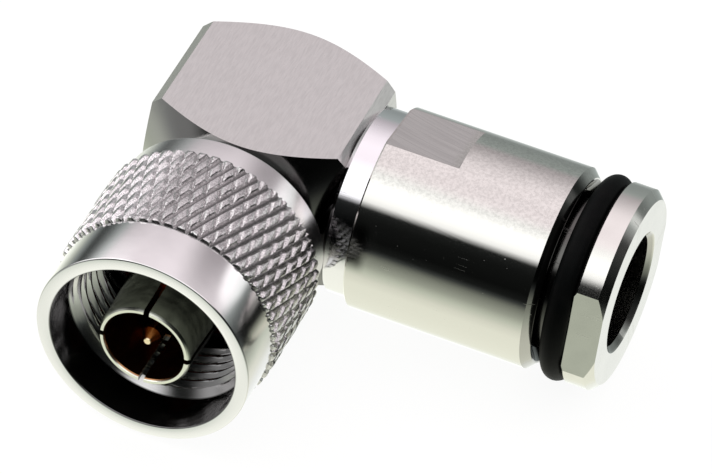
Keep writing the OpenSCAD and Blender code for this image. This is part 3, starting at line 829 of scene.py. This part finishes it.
# %% Rings, bands and fans
class NutMesh:
    """The points and faces of the nut, laid ring by ring."""

    def __init__(self):
        self.points = []
        self.faces = []

    def lay(self, ring, y):
        """Points of a ring of (angle, radius) pairs at one place along the axis."""
        start = len(self.points)
        self.points.extend((r * math.sin(t), y, r * math.cos(t)) for t, r in ring)
        return range(start, len(self.points))

    def band(self, first, second):
        """Quads between two rings of as many points."""
        n = len(first)
        for k in range(n):
            m = (k + 1) % n
            self.faces.append((first[k], first[m], second[m], second[k]))

    def teeth(self, near, far):
        """Triangles between two rings of the knurl."""
        for k in range(columns):
            m = (k + 1) % columns
            self.faces.append((near[k], near[m], far[k]))
            self.faces.append((near[m], far[m], far[k]))

    def fan(self, fine, few, shift, forward):
        """Joins a ring of all columns to one of a third of them."""
        n = len(few)
        for k in range(n):
            one, two, three, four = [fine[(3 * k + shift + j) % len(fine)] for j in range(4)]
            corner, beyond = few[k], few[(k + 1) % n]
            new = [(one, two, corner), (two, three, corner), (three, beyond, corner), (three, four, beyond)]
            self.faces.extend(new if forward else [face[::-1] for face in new])


print("ways to lay the nut's faces:", NutMesh.band.__name__, NutMesh.teeth.__name__, NutMesh.fan.__name__)

# %% Build the nut
thread_rows = 64
sharp_from = math.radians(32)
angles = [2 * math.pi * k / coarse for k in range(coarse)]


def turned_rings(corners):
    """A ring of a third of the columns at each corner of an outline."""
    return [([(t, radius) for t in angles], y) for radius, y in corners]


def thread_rings():
    """Rings of the thread, from its rear end to the front."""
    step = (undercut_y - thread_front) / thread_rows
    places = [thread_front + step * k for k in range(thread_rows, -1, -1)]
    return [([(t, thread_radius(t, y)) for t in angles], y) for y in places]


def build_nut():
    shape = NutMesh()
    step = (knurl_rear - knurl_front) / rows_of_cuts
    rows = [shape.lay(ring, knurl_front + step * k) for k, ring in enumerate(knurl_rings)]
    for near, far in zip(rows, rows[1:]):
        shape.teeth(near, far)
    rings_round = turned_rings(rear_side) + thread_rings() + turned_rings(front_side)
    loops = [shape.lay(ring, y) for ring, y in rings_round]
    for near, far in zip(loops, loops[1:]):
        shape.band(near, far)
    shape.fan(rows[-1], loops[0], -round(deep_lean * cuts), True)
    shape.fan(rows[0], loops[-1], 0, False)
    mesh = bpy.data.meshes.new("coupling_nut_cut")
    mesh.from_pydata(shape.points, [], shape.faces)
    mesh.validate()
    for face in mesh.polygons:
        face.use_smooth = True
    mesh.set_sharp_from_angle(angle=sharp_from)
    return bpy.data.objects.new("coupling_nut_cut", mesh)


nut = build_nut()
bpy.context.scene.collection.objects.link(nut)
print("nut faces:", len(nut.data.polygons))

# %% [markdown]
# One material serves the whole nut. Its bands and collar show the rings of the lathe. The
# teeth are torn metal: a coarse noise bends the light on them and breaks their colour. The
# bottom of the grooves has painted shade, the wall of the mouth ahead of the thread lies in
# shadow and is painted dark, and one side of the knurl has painted light. Masks by radius and
# by distance along the axis tell these apart, so no faces need to be picked by hand.

# %% Parts of the nut
def nut_masks(about):
    """1 on the teeth, their tops, the deep grooves, the inside and the thread."""
    front, rear = knurl_front / mm, knurl_rear / mm
    tooth = about.along.rise(front - 0.02, front + 0.02) * about.along.rise(rear + 0.02, rear - 0.02)
    tooth = tooth * about.radius.rise(band_r / mm - 0.5, band_r / mm - 0.4)
    top = tooth * about.radius.rise(knurl_r / mm - 0.2, knurl_r / mm - 0.13)
    deep = tooth * about.radius.rise(valley_r / mm + 0.2, valley_r / mm)
    inside = about.radius.rise(mouth_r / mm + 0.15, mouth_r / mm + 0.03)
    thread = inside * about.radius.rise(mouth_r / mm - 0.02, mouth_r / mm - 0.1)
    thread = thread * about.along.rise(undercut_y / mm + 0.05, undercut_y / mm)
    return tooth, top, deep, inside, thread


print("parts of the nut by radius:", [round(r / mm, 2) for r in (valley_r, band_r, mouth_r)])

# %% Knurled nut
def knurled(name, roughness, ring_depth, colour):
    material, tree, place, about = begin(name, "plug")
    tooth, top, deep, inside, thread = nut_masks(about)
    fine = rings(tree, about, 0.08) + rings(tree, about, 0.4) * 0.6
    grain = tree.noise(place, 9, 3, 0.7)
    torn = tree.noise(place, 8, 4, 0.75)
    height = fine * (1 - tooth) + grain * 0.5 + torn * tooth * 18
    collar = about.along.rise(knurl_rear / mm + 0.02, knurl_rear / mm + 0.1) * (1 - inside)
    matt = roughness + (grain - 0.5) * 0.1 + tooth * 0.06 + collar * 0.09
    colours = stained(tree, place, colour, tone(colour, 0.95), 0.5)
    rim = about.along.rise(nut_low.y / mm + 0.03, nut_low.y / mm + 0.01)
    colours = tree.mix(rim, colours, (0.92, 0.91, 0.95))
    # painted light: one side of the knurl is brighter
    colours = tree.mix(tooth * about.side.rise(-0.15, -0.5), colours, (0.97, 0.95, 0.955))
    flank = (tooth - top) * (1 - deep)
    # painted shade in the deep grooves and on the mouth wall; tops and flanks are mottled by the torn noise
    for mask, amount in [(deep, 0.5), (top, torn.rise(0.38, 0.62) * 0.36 + 0.03),
                         (flank, torn.rise(0.42, 0.6) * 0.45), (inside, (1 - thread) * 0.65)]:
        colours = shaded(tree, colours, mask * amount)
    shell(tree, colours, matt, height, ring_depth)
    return material


knurled_nickel = knurled("knurled_nickel_cut", 0.14, 0.001, (0.76, 0.745, 0.745))
nut.data.materials.append(knurled_nickel)
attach(nut, "nut_body")
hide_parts("coupling_nut")
print("nut finish:", knurled_nickel.name)

# %% [markdown]
# ## Dressing the carried pieces
# The other pieces are already the right shape, so they only take their finish.

# %% Finishes by piece
finishes = {
    "body_block": milled_nickel, "rear_cap": turned_cap, "outer_contact": contact_bronze,
    "front_insulator": bead_plastic, "rear_insulator": bead_plastic, "centre_pin": gold,
    "front_gasket": silicone, "retaining_ring": white_bronze, "coupling_nut": knurled_nickel,
    "cable_sleeve": sleeve_nickel, "sleeve_seal": rubber, "cable_insulator": bead_plastic,
    "cable_contact": gold, "braid_clamp": white_bronze, "cable_gasket": rubber,
    "slip_washer": white_bronze, "o_ring": rubber, "clamp_nut": clamp_nickel}
for name, finish in finishes.items():
    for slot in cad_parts[name].material_slots:
        slot.material = finish
print("dressed:", len(finishes))
